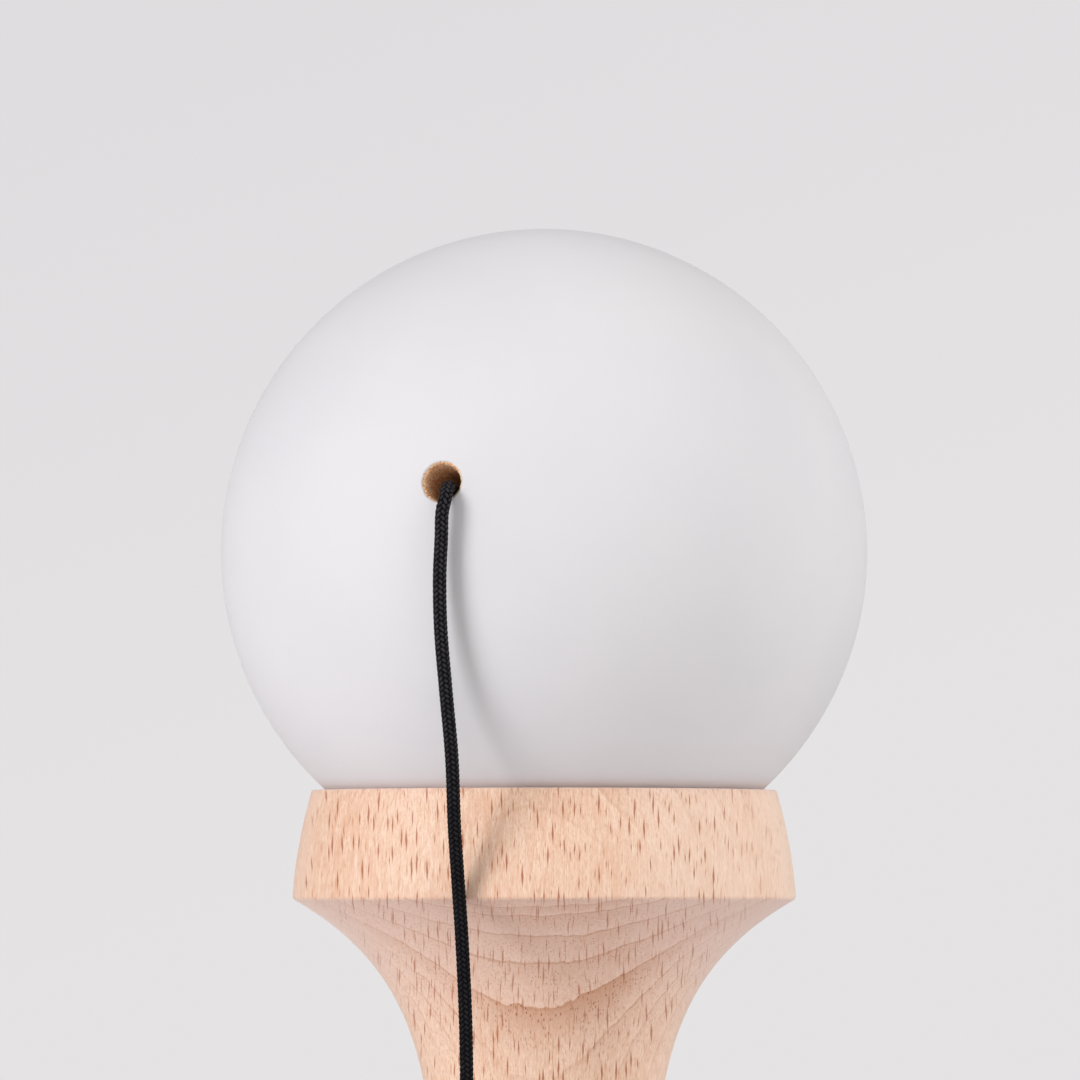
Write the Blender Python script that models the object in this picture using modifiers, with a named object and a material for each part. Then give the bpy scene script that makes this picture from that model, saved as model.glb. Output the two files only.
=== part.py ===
"""Kendama: a ken with its crosspiece, a ball on a string, and the bead that ties them.

Metres, +Z up. The ken stands upside down on the Z axis with the ball on its base cup, as it is
held by the spike, and the origin is the middle of the spike. The crosspiece lies along X, and
the string hangs down the front, at -Y.
"""

from dataclasses import dataclass
from math import asin, cos, exp, pi, radians, sin, sqrt

import bmesh
import bpy
from mathutils import Vector


@dataclass(frozen=True)
class Cup:
    """A turned cup: flat rim, crowned band below it and a round bowl inside."""

    rim_radius: float
    edge_radius: float
    band_height: float
    bowl_depth: float


# Fits and facets
GAP = 0.0003
BALL_STEPS = 48
WOOD_STEPS = 36
SMALL_STEPS = 16
MERGE_DISTANCE = 0.00001

# Ball, the tama
TAMA_RADIUS = 0.030
TAMA_TILT = radians(10)
STRING_HOLE_RADIUS = 0.0016
STRING_HOLE_CHAMFER = 0.00035
SPIKE_HOLE_RADIUS = 0.0085
SPIKE_HOLE_MOUTH_RADIUS = 0.0108
SPIKE_HOLE_DEPTH = 0.040

# Cups, which share their rim and band details
BASE_CUP = Cup(rim_radius=0.02155, edge_radius=0.02335, band_height=0.01005, bowl_depth=0.0110)
BIG_CUP = Cup(rim_radius=0.02300, edge_radius=0.02480, band_height=0.01050, bowl_depth=0.0125)
SMALL_CUP = Cup(rim_radius=0.02040, edge_radius=0.02215, band_height=0.00930, bowl_depth=0.0102)
CUP_LAND = 0.00085
RIM_BEVEL = 0.0002
BAND_CROWN = 0.00028

# Ken, from its base cup down to the spike
KEN_LENGTH = 0.163
GRIP_ABOVE_TIP = 0.027
BASE_FLARE = 0.0078
WAIST_RADIUS = 0.0096
SWELL = 0.0012
SWELL_START = 0.036
SHOULDER_RADIUS = 0.0090
TENON_RADIUS = 0.0066
SPIKE_RADIUS = 0.0062
TIP_RADIUS = 0.0041
SPIKE_CURVE = 1.3
NOSE_LENGTH = 0.0055
KEN_STRING_HOLE_RADIUS = 0.0012

# Crosspiece, the sarado
SARADO_BELOW_RIM = 0.098
BIG_CUP_REACH = 0.0355
SMALL_CUP_REACH = 0.0335
SARADO_WAIST_RADIUS = 0.0116
SARADO_FLARE = 0.0070
SARADO_STRING_HOLE_RADIUS = 0.0020

# String and what is on it
STRING_RADIUS = 0.000625
BEAD_RADIUS = 0.0040
BEAD_LENGTH = 0.0060
BEAD_BORE_RADIUS = 0.0011
BEAD_ROUNDING = 0.0012
KNOT_RADIUS = 0.0016

# String route in millimetres: out of the ball, over the base cup's edge, down past the
# crosspiece, round the slack loop and back up into the crosspiece's front hole
STRING_ROUTE_MM = (
    (0.00, -3.64, 158.74), (0.00, -11.82, 160.18), (0.25, -18.71, 161.40), (0.50, -24.64, 162.36),
    (0.60, -27.80, 162.78), (0.70, -29.95, 162.66), (0.84, -31.02, 161.68), (0.70, -31.42, 160.40),
    (0.63, -31.40, 158.41), (0.44, -31.31, 154.60), (0.36, -30.78, 150.10), (0.39, -29.44, 144.60),
    (0.40, -27.80, 138.60), (0.10, -26.20, 132.60), (-0.05, -24.85, 128.10), (-0.05, -24.33, 125.70),
    (0.18, -24.25, 122.00), (0.56, -24.22, 113.00), (0.58, -24.20, 96.00), (0.50, -24.20, 76.00),
    (0.28, -24.20, 54.00), (0.05, -24.20, 32.00), (-0.10, -24.40, -8.00), (-0.20, -24.90, -46.00),
    (-0.20, -25.00, -70.00), (-0.10, -24.60, -80.20), (0.00, -22.80, -83.90), (0.10, -19.80, -85.00),
    (0.20, -16.80, -83.90), (0.26, -15.00, -80.20), (0.30, -14.60, -70.00), (0.20, -14.80, -46.00),
    (0.10, -15.60, -8.00), (0.00, -16.20, 32.00), (0.00, -15.95, 34.60), (0.00, -14.90, 36.90),
    (0.00, -13.00, 37.90), (0.00, -10.50, 38.00), (0.00, -3.00, 38.00), (0.00, 6.40, 38.00),
)
FALL_START = 8
SLACK_START = 21
SLACK_END = 33
ROUTE_SAMPLES = 16
LONGEST_STEP = 0.009
LARGEST_TURN = radians(14)

# Points along the turned outlines
BOWL_POINTS = 7
BAND_POINTS = 5
HANDLE_POINTS = 24
HANDLE_CROWDING = 1.6
SARADO_FLARE_POINTS = 20
SPIKE_POINTS = 6
NOSE_POINTS = 5
BALL_POINTS = 24
BEAD_POINTS = 4

# Heights that follow from the sizes above
RIM_Z = KEN_LENGTH - GRIP_ABOVE_TIP
TIP_Z = -GRIP_ABOVE_TIP
SARADO_Z = RIM_Z - SARADO_BELOW_RIM
TAMA_Z = RIM_Z + sqrt((TAMA_RADIUS + GAP) ** 2 - (BASE_CUP.rim_radius - CUP_LAND) ** 2)
BORE_END = SPIKE_HOLE_DEPTH - TAMA_RADIUS
BEAD_TOP = BORE_END - GAP


def clear_scene():
    """Remove every object, so that the script can run again in the same file."""
    for obj in list(bpy.data.objects):
        bpy.data.objects.remove(obj, do_unlink=True)


def make_collection(name):
    """Return a new collection that the scene shows."""
    collection = bpy.data.collections.new(name)
    bpy.context.scene.collection.children.link(collection)
    return collection


def make_material(name, colour, roughness):
    """Return a Principled material of one colour."""
    material = bpy.data.materials.new(name)
    material.use_nodes = True
    shader = material.node_tree.nodes["Principled BSDF"]
    shader.inputs["Base Color"].default_value = (*colour, 1.0)
    shader.inputs["Roughness"].default_value = roughness
    shader.inputs["Metallic"].default_value = 0.0
    return material


def cup_outline(cup, rim_z):
    """Outline of a cup that opens upwards, from its bowl's middle out and down to its band's edge."""
    bowl_radius = cup.rim_radius - CUP_LAND
    sphere = (bowl_radius ** 2 + cup.bowl_depth ** 2) / (2 * cup.bowl_depth)
    last_angle = asin(bowl_radius / sphere)
    points = []
    for i in range(BOWL_POINTS + 1):
        angle = last_angle * i / BOWL_POINTS
        points.append((sphere * sin(angle), rim_z - cup.bowl_depth + sphere * (1 - cos(angle))))
    points.append((cup.rim_radius - RIM_BEVEL, rim_z))
    for i in range(BAND_POINTS + 1):
        t = i / BAND_POINTS
        radius = cup.rim_radius + (cup.edge_radius - cup.rim_radius) * t + 4 * BAND_CROWN * t * (1 - t)
        points.append((radius, rim_z - RIM_BEVEL - (cup.band_height - RIM_BEVEL) * t))
    return points


def sarado_radius(x):
    """Outer radius of the crosspiece between its two bands, at x from the ken's axis."""
    from_big = BIG_CUP_REACH - BIG_CUP.band_height - x
    from_small = SMALL_CUP_REACH - SMALL_CUP.band_height + x
    big_flare = (BIG_CUP.edge_radius - SARADO_WAIST_RADIUS) * exp(-from_big / SARADO_FLARE)
    small_flare = (SMALL_CUP.edge_radius - SARADO_WAIST_RADIUS) * exp(-from_small / SARADO_FLARE)
    return SARADO_WAIST_RADIUS + big_flare + small_flare


SARADO_MIDDLE_RADIUS = sarado_radius(0.0)
SEAT_Z = SARADO_Z + sqrt(SARADO_MIDDLE_RADIUS ** 2 - (SHOULDER_RADIUS + GAP) ** 2)
SHOULDER_Z = SEAT_Z + GAP
SPIKE_Z = SARADO_Z - SARADO_MIDDLE_RADIUS


def handle_radius(below_rim):
    """Radius of the ken between its base cup's edge and its shoulder."""
    flare = (BASE_CUP.edge_radius - WAIST_RADIUS) * exp((BASE_CUP.band_height - below_rim) / BASE_FLARE)
    along = (below_rim - SWELL_START) / (RIM_Z - SHOULDER_Z - SWELL_START)
    along = min(max(along, 0.0), 1.0)
    taper = (SHOULDER_RADIUS - WAIST_RADIUS) * along * along * (3 - 2 * along)
    return WAIST_RADIUS + flare + taper + SWELL * sin(pi * along) ** 2


def tenon_radius(z):
    """Radius of the ken where it passes through the crosspiece."""
    return SPIKE_RADIUS + (TENON_RADIUS - SPIKE_RADIUS) * (z - SPIKE_Z) / (SHOULDER_Z - SPIKE_Z)


def ken_outline():
    """Outline of the ken from its base cup's bowl down to the tip of its spike."""
    points = cup_outline(BASE_CUP, RIM_Z)
    handle_length = RIM_Z - SHOULDER_Z - BASE_CUP.band_height
    for i in range(1, HANDLE_POINTS + 1):
        below_rim = BASE_CUP.band_height + handle_length * (i / HANDLE_POINTS) ** HANDLE_CROWDING
        points.append((handle_radius(below_rim), RIM_Z - below_rim))
    points.append((tenon_radius(SHOULDER_Z), SHOULDER_Z))
    nose_z = TIP_Z + NOSE_LENGTH
    for i in range(SPIKE_POINTS + 1):
        t = i / SPIKE_POINTS
        radius = SPIKE_RADIUS + (TIP_RADIUS - SPIKE_RADIUS) * t ** SPIKE_CURVE
        points.append((radius, SPIKE_Z + (nose_z - SPIKE_Z) * t))
    for i in range(1, NOSE_POINTS + 1):
        angle = pi / 2 * i / NOSE_POINTS
        points.append((TIP_RADIUS * cos(angle), nose_z - NOSE_LENGTH * sin(angle)))
    return points


def sarado_outline():
    """Outline of the crosspiece along its own axis, with its big cup on top."""
    big = cup_outline(BIG_CUP, BIG_CUP_REACH)
    small = [(radius, -z) for radius, z in reversed(cup_outline(SMALL_CUP, SMALL_CUP_REACH))]
    start = big[-1][1]
    end = small[0][1]
    flare = []
    for i in range(1, SARADO_FLARE_POINTS):
        x = (start + end) / 2 + (start - end) / 2 * cos(pi * i / SARADO_FLARE_POINTS)
        flare.append((sarado_radius(x), x))
    return big + flare + small


def tama_outline():
    """Closed outline of the ball round its string axis, with the string hole on top."""
    mouth_radius = STRING_HOLE_RADIUS + STRING_HOLE_CHAMFER
    first = asin(mouth_radius / TAMA_RADIUS)
    last = pi - asin(SPIKE_HOLE_MOUTH_RADIUS / TAMA_RADIUS)
    points = []
    for i in range(BALL_POINTS + 1):
        angle = first + (last - first) * i / BALL_POINTS
        points.append((TAMA_RADIUS * sin(angle), TAMA_RADIUS * cos(angle)))
    bevel = SPIKE_HOLE_MOUTH_RADIUS - SPIKE_HOLE_RADIUS
    points.append((SPIKE_HOLE_RADIUS, TAMA_RADIUS * cos(last) + bevel))
    points.append((SPIKE_HOLE_RADIUS, BORE_END))
    points.append((STRING_HOLE_RADIUS, BORE_END))
    points.append((STRING_HOLE_RADIUS, TAMA_RADIUS * cos(first) - STRING_HOLE_CHAMFER))
    return points


def bead_outline():
    """Closed outline of the bead round the string axis, top down."""
    points = []
    for end in (1, -1):
        middle = BEAD_TOP - BEAD_LENGTH / 2 + end * (BEAD_LENGTH / 2 - BEAD_ROUNDING)
        for i in range(BEAD_POINTS + 1):
            angle = pi / 2 * (i / BEAD_POINTS if end < 0 else 1 - i / BEAD_POINTS)
            radius = BEAD_RADIUS - BEAD_ROUNDING * (1 - cos(angle))
            points.append((radius, middle + end * BEAD_ROUNDING * sin(angle)))
    points.append((BEAD_BORE_RADIUS, BEAD_TOP - BEAD_LENGTH))
    points.append((BEAD_BORE_RADIUS, BEAD_TOP))
    return points


def turn(name, outline, steps, collection, closed=False):
    """Return a solid turned round its own Z axis from an outline of (radius, z) points."""
    mesh = bpy.data.meshes.new(name)
    edges = [(i, i + 1) for i in range(len(outline) - 1)]
    if closed:
        edges.append((len(outline) - 1, 0))
    mesh.from_pydata([(radius, 0.0, z) for radius, z in outline], edges, [])
    obj = bpy.data.objects.new(name, mesh)
    collection.objects.link(obj)
    screw = obj.modifiers.new("Turn", "SCREW")
    screw.axis = "Z"
    screw.angle = 2 * pi
    screw.steps = steps
    screw.render_steps = steps
    screw.use_merge_vertices = True
    screw.merge_threshold = MERGE_DISTANCE
    screw.use_smooth_shade = True
    return obj


def as_cutter(obj):
    """Hide a solid that only cuts others."""
    obj.hide_render = True
    obj.display_type = "WIRE"


def drill(name, radius, length, collection):
    """Return a cutter for a string hole, along Y through the crosspiece's middle."""
    mesh = bpy.data.meshes.new(name)
    shape = bmesh.new()
    bmesh.ops.create_cone(
        shape, cap_ends=True, segments=SMALL_STEPS, radius1=radius, radius2=radius, depth=length
    )
    shape.to_mesh(mesh)
    shape.free()
    obj = bpy.data.objects.new(name, mesh)
    collection.objects.link(obj)
    obj.location = (0.0, 0.0, SARADO_Z)
    obj.rotation_euler = (pi / 2, 0.0, 0.0)
    as_cutter(obj)
    return obj


def cut(obj, cutter):
    """Cut one solid out of another."""
    modifier = obj.modifiers.new(cutter.name, "BOOLEAN")
    modifier.operation = "DIFFERENCE"
    modifier.object = cutter


def seat_cutter(collection):
    """Return a cutter for the ken's seat: its shoulder's spot face and the tapered hole below it."""
    above = SEAT_Z + 2 * SARADO_MIDDLE_RADIUS
    below = SPIKE_Z - SARADO_MIDDLE_RADIUS
    outline = [
        (0.0, above),
        (SHOULDER_RADIUS + GAP, above),
        (SHOULDER_RADIUS + GAP, SEAT_Z),
        (tenon_radius(SEAT_Z) + GAP, SEAT_Z),
        (tenon_radius(SPIKE_Z) + GAP, SPIKE_Z),
        (tenon_radius(SPIKE_Z) + GAP, below),
        (0.0, below),
    ]
    obj = turn("seat_cutter", outline, WOOD_STEPS, collection)
    as_cutter(obj)
    return obj


def smooth_route(points):
    """Return close points of a smooth curve through a route's points."""
    padded = [2 * points[0] - points[1], *points, 2 * points[-1] - points[-2]]
    samples = []
    for before, start, end, after in zip(padded, padded[1:], padded[2:], padded[3:]):
        knots = [0.0]
        for a, b in ((before, start), (start, end), (end, after)):
            knots.append(knots[-1] + sqrt((b - a).length))
        out_slope = (start - before) / (knots[1] - knots[0]) - (end - before) / (knots[2] - knots[0])
        in_slope = (end - start) / (knots[2] - knots[1]) - (after - start) / (knots[3] - knots[1])
        span = knots[2] - knots[1]
        middle = (end - start) / span
        leave = (out_slope + middle) * span
        arrive = (in_slope + (after - end) / (knots[3] - knots[2])) * span
        for i in range(ROUTE_SAMPLES):
            t = i / ROUTE_SAMPLES
            samples.append(
                (2 * t ** 3 - 3 * t ** 2 + 1) * start
                + (t ** 3 - 2 * t ** 2 + t) * leave
                + (3 * t ** 2 - 2 * t ** 3) * end
                + (t ** 3 - t ** 2) * arrive
            )
    samples.append(points[-1])
    return samples


def thin_out(samples):
    """Keep the points of a curve that its bends and its length need."""
    kept = [samples[0]]
    last_way = samples[1] - samples[0]
    for here, ahead in zip(samples[1:], samples[2:]):
        way = ahead - here
        if way.angle(last_way) > LARGEST_TURN or (here - kept[-1]).length > LONGEST_STEP:
            kept.append(here)
            last_way = way
    kept.append(samples[-1])
    return kept


def shorten(samples):
    """Start a stretch half a gap later, so that it stays clear of what it meets there."""
    end = samples[0]
    rest = [point for point in samples if (point - end).length > GAP]
    return [end + (rest[0] - end).normalized() * GAP / 2, *rest]


def string_piece(name, samples, collection):
    """Return one stretch of the string, half a gap short of what it meets at each end."""
    samples = shorten(samples)
    samples = shorten(samples[::-1])[::-1]
    points = thin_out(samples)
    curve = bpy.data.curves.new(name, "CURVE")
    curve.dimensions = "3D"
    curve.bevel_depth = STRING_RADIUS
    curve.bevel_resolution = 2
    curve.use_fill_caps = True
    spline = curve.splines.new("POLY")
    spline.points.add(len(points) - 1)
    for target, point in zip(spline.points, points):
        target.co = (*point, 1.0)
    obj = bpy.data.objects.new(name, curve)
    collection.objects.link(obj)
    return obj


def make_string(collection):
    """Return the string's four stretches: in the ball, down the front, the slack and in the ken."""
    route = [Vector(point) / 1000 for point in STRING_ROUTE_MM]
    samples = smooth_route(route)
    length = sum((b - a).length for a, b in zip(samples, samples[1:]))
    print(f"string length between its knots {length:.4f} m")
    names = ("string_in_tama", "string_fall", "string_slack", "string_in_ken")
    cuts = (0, FALL_START, SLACK_START, SLACK_END, len(route) - 1)
    pieces = []
    for name, first, last in zip(names, cuts, cuts[1:]):
        stretch = samples[first * ROUTE_SAMPLES:last * ROUTE_SAMPLES + 1]
        pieces.append(string_piece(name, stretch, collection))
    return pieces


def knot(name, collection):
    """Return a stopper knot as a round knob on its own origin."""
    mesh = bpy.data.meshes.new(name)
    shape = bmesh.new()
    bmesh.ops.create_uvsphere(shape, u_segments=SMALL_STEPS, v_segments=SMALL_STEPS // 2, radius=KNOT_RADIUS)
    shape.to_mesh(mesh)
    shape.free()
    mesh.shade_smooth()
    obj = bpy.data.objects.new(name, mesh)
    collection.objects.link(obj)
    return obj


def main():
    """Build the kendama."""
    clear_scene()
    parts = make_collection("kendama")
    cutters = make_collection("kendama_cutters")
    beech = make_material("beech", (0.80, 0.56, 0.40), 0.50)
    paint = make_material("pale_paint", (0.74, 0.73, 0.74), 0.45)
    braid = make_material("black_braid", (0.015, 0.014, 0.016), 0.60)
    bead_wood = make_material("bead_wood", (0.72, 0.50, 0.33), 0.50)

    drill_length = 4 * BIG_CUP.edge_radius
    seat = seat_cutter(cutters)
    ken_drill = drill("ken_string_hole", KEN_STRING_HOLE_RADIUS, drill_length, cutters)
    sarado_drill = drill("sarado_string_hole", SARADO_STRING_HOLE_RADIUS, drill_length, cutters)

    ken = turn("ken", ken_outline(), WOOD_STEPS, parts)
    cut(ken, ken_drill)

    sarado = turn("sarado", sarado_outline(), WOOD_STEPS, parts)
    sarado.location = (0.0, 0.0, SARADO_Z)
    sarado.rotation_euler = (0.0, pi / 2, 0.0)
    cut(sarado, seat)
    cut(sarado, sarado_drill)

    string_axis = bpy.data.objects.new("string_axis", None)
    parts.objects.link(string_axis)
    string_axis.location = (0.0, 0.0, TAMA_Z)
    string_axis.rotation_euler = (pi / 2 - TAMA_TILT, 0.0, 0.0)

    tama = turn("tama", tama_outline(), BALL_STEPS, parts, closed=True)
    bead = turn("bead", bead_outline(), SMALL_STEPS, parts, closed=True)
    bead_knot = knot("bead_knot", parts)
    bead_knot.location = (0.0, 0.0, BEAD_TOP - BEAD_LENGTH - GAP - KNOT_RADIUS)
    for obj in (tama, bead, bead_knot):
        obj.parent = string_axis

    ken_knot = knot("ken_knot", parts)
    ken_knot.location = (0.0, tenon_radius(SARADO_Z) + GAP + KNOT_RADIUS, SARADO_Z)

    for obj in (ken, sarado):
        obj.data.materials.append(beech)
    tama.data.materials.append(paint)
    bead.data.materials.append(bead_wood)
    for obj in (bead_knot, ken_knot, *make_string(parts)):
        obj.data.materials.append(braid)


main()
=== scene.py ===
"""Looks of a kendama: a beech ken and crosspiece, a pale painted ball and a black braided string.

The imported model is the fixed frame, in metres with +Z up. The ken stands upside down on the Z axis
with the ball on its base cup, the crosspiece lies along X and the string hangs down the front, at -Y.
"""

import logging
import math
from contextlib import contextmanager
from dataclasses import dataclass, field
from enum import Enum
from typing import Iterator, Sequence

import bpy
import numpy as np
from bpy.types import ID, Material, Node, NodeSocket, Object
from mathutils import Euler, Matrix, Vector


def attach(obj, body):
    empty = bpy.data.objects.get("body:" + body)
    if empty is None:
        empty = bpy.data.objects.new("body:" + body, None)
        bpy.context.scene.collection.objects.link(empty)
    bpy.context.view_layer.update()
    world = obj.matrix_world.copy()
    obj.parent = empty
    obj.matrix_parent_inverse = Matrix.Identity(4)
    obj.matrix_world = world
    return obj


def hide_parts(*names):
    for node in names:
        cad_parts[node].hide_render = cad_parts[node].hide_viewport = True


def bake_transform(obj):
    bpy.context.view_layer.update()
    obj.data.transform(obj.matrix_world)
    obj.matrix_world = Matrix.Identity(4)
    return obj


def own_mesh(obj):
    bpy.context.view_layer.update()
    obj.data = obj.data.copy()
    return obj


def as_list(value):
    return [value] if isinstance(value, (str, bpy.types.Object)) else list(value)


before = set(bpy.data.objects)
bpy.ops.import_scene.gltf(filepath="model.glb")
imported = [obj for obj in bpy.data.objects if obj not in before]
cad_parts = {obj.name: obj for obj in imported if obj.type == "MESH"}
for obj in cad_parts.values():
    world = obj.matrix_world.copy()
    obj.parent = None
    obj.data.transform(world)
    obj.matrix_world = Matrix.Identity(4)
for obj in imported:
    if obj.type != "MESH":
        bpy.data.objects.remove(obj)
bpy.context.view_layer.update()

MERGE_DISTANCE = 0.0000008
MILLIMETRE = 0.001
PER_MM = (1 / MILLIMETRE,) * 3
ZERO = (0.0, 0.0, 0.0)
UP = Vector((0.0, 0.0, 1.0))
Z_TO_Y = (math.pi / 2, 0.0, 0.0)
Z_TO_X = (0.0, math.pi / 2, 0.0)
EASE_FACETS = 6
EDGE_SEGMENTS = 3
EDGE_ANGLE_DEG = 28
SHADE_ANGLE_DEG = 40

Place = tuple[float, float, float]
Colour = tuple[float, float, float, float]
Outline = list[tuple[float, float]]
log = logging.getLogger("kendama")


class Body(str, Enum):
    """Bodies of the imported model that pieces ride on."""

    KEN = "ken"
    STRING_END = "string_end"
    TAMA = "tama"


class Grain(Enum):
    """Which way the grain of a beech piece runs."""

    UPRIGHT = "along Z"
    ACROSS = "along X"


# Mesh tools


def deselect() -> None:
    """Leave edit mode and deselect every object."""
    if bpy.context.object is not None and bpy.context.object.mode != "OBJECT":
        bpy.ops.object.mode_set(mode="OBJECT")
    bpy.ops.object.select_all(action="DESELECT")


def activate(obj: Object) -> None:
    """Make one object the only selected and active one.

    Args:
        obj: Object that is worked on next.
    """
    deselect()
    obj.select_set(True)
    bpy.context.view_layer.objects.active = obj


@contextmanager
def editing() -> Iterator[None]:
    """Edit the active object's mesh, with all of it selected at first.

    Yields:
        Nothing, while edit mode lasts.
    """
    bpy.ops.object.mode_set(mode="EDIT")
    bpy.ops.mesh.select_all(action="SELECT")
    yield
    bpy.ops.object.mode_set(mode="OBJECT")


def modify(obj: Object, kind: str, **settings: object) -> None:
    """Put a modifier on an object and apply it.

    Args:
        obj: Object that is changed.
        kind: The modifier's type.
        settings: Its properties.
    """
    modifier = obj.modifiers.new(kind.lower(), kind)
    for key, value in settings.items():
        setattr(modifier, key, value)
    activate(obj)
    bpy.ops.object.modifier_apply(modifier=modifier.name)


def linked(name: str, data: ID) -> Object:
    """Add an object to the scene.

    Args:
        name: Its name.
        data: Its mesh, lamp or camera.

    Returns:
        The new object.
    """
    obj = bpy.data.objects.new(name, data)
    bpy.context.scene.collection.objects.link(obj)
    return obj


def settle() -> None:
    """Put the active object's place into its mesh."""
    bpy.ops.object.transform_apply(location=True, rotation=True, scale=True)


def turned(name: str, outline: Outline, steps: int, closed: bool = False) -> Object:
    """Turn an outline round the Z axis, as on a lathe.

    Args:
        name: Name of the new object.
        outline: Points of radius and height, in order.
        steps: Facets round the axis.
        closed: Whether the outline's last point joins its first.

    Returns:
        The turned object, closed and with its faces pointing out.
    """
    points = [*outline, outline[0]] if closed else list(outline)
    deselect()
    bpy.ops.mesh.primitive_plane_add(size=MILLIMETRE, location=(points[0][0], 0.0, points[0][1]))
    obj = bpy.context.object
    obj.name = name
    obj.data.name = name
    settle()
    with editing():
        bpy.ops.mesh.merge(type="CENTER")
        for here, ahead in zip(points, points[1:]):
            step = (ahead[0] - here[0], 0.0, ahead[1] - here[1])
            bpy.ops.mesh.extrude_vertices_move(TRANSFORM_OT_translate={"value": step})
        bpy.ops.mesh.select_all(action="SELECT")
        bpy.ops.mesh.spin(steps=steps, angle=2 * math.pi, center=ZERO, axis=UP)
        bpy.ops.mesh.select_all(action="SELECT")
        bpy.ops.mesh.remove_doubles(threshold=MERGE_DISTANCE)
        bpy.ops.mesh.normals_make_consistent(inside=False)
    return obj


def place(obj: Object, location: Sequence[float], rotation: Sequence[float]) -> None:
    """Turn and move an object, with its place put into its mesh.

    Args:
        obj: Object at the origin.
        location: Where its origin goes, in metres.
        rotation: Turns about X, Y and Z in radians.
    """
    activate(obj)
    obj.rotation_euler = rotation
    obj.location = location
    settle()


def soften_edges(
    obj: Object, width: float, segments: int = EDGE_SEGMENTS, angle_deg: float = EDGE_ANGLE_DEG
) -> None:
    """Round the sharp edges of a piece.

    Args:
        obj: Piece to round.
        width: Width of the rounding in metres.
        segments: Facets across it.
        angle_deg: Least angle of an edge that is rounded.
    """
    limit = math.radians(angle_deg)
    modify(obj, "BEVEL", width=width, segments=segments, limit_method="ANGLE", angle_limit=limit)


def bore(obj: Object, outline: Outline, facets: int, location: Place = ZERO, turn: Place = ZERO) -> None:
    """Cut a turned shape out of a piece.

    Args:
        obj: Piece that is cut.
        outline: Points of radius and height of the shape, in order.
        facets: Facets round its axis.
        location: Where the shape's origin goes.
        turn: Turns of the shape about X, Y and Z.
    """
    cutter = turned("cutter", outline, facets)
    place(cutter, location, turn)
    modify(obj, "BOOLEAN", operation="DIFFERENCE", object=cutter)
    bpy.data.objects.remove(cutter, do_unlink=True)


def shade(obj: Object, angle_deg: float = SHADE_ANGLE_DEG) -> None:
    """Shade a piece smooth, apart from edges sharper than an angle."""
    activate(obj)
    bpy.ops.object.shade_smooth_by_angle(angle=math.radians(angle_deg))


def dress(obj: Object, material: Material, slot: str, body: Body | None, *nodes: str) -> None:
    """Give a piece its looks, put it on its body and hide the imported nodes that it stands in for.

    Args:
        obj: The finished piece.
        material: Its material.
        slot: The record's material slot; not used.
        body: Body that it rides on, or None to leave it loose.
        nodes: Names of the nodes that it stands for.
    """
    obj.data.materials.clear()
    obj.data.materials.append(material)
    if body is not None:
        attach(obj, body.value)
    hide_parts(*nodes)


def between(start: float, end: float, share: float) -> float:
    """Return the value at a share of the way from start to end."""
    return start + (end - start) * share


def spread_along(start: float, end: float, count: int) -> list[float]:
    """Return evenly spaced values from start to end, both among them."""
    return [start + (end - start) * i / count for i in range(count + 1)]


def mirrored(half: Outline) -> Outline:
    """Return an outline followed by its mirror image below the origin."""
    return half + [(radius, -height) for radius, height in reversed(half)]


def eased(outline: Outline, corner: int, reach: float) -> Outline:
    """Round one corner of an outline.

    Args:
        outline: Points of radius and height, in order.
        corner: Index of the corner's point.
        reach: Distance from the corner where the rounding starts and ends.

    Returns:
        The outline with a curve in place of the corner.
    """
    tip = Vector(outline[corner])
    before = [p for p in outline[:corner] if (Vector(p) - tip).length > reach]
    after = [p for p in outline[corner + 1:] if (Vector(p) - tip).length > reach]
    start = tip + reach * (Vector(before[-1]) - tip).normalized()
    end = tip + reach * (Vector(after[0]) - tip).normalized()
    curve = []
    for t in spread_along(0.0, 1.0, EASE_FACETS):
        curve.append(tuple((1 - t) ** 2 * start + 2 * t * (1 - t) * tip + t * t * end))
    return before + curve + after


# Finishes


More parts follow.
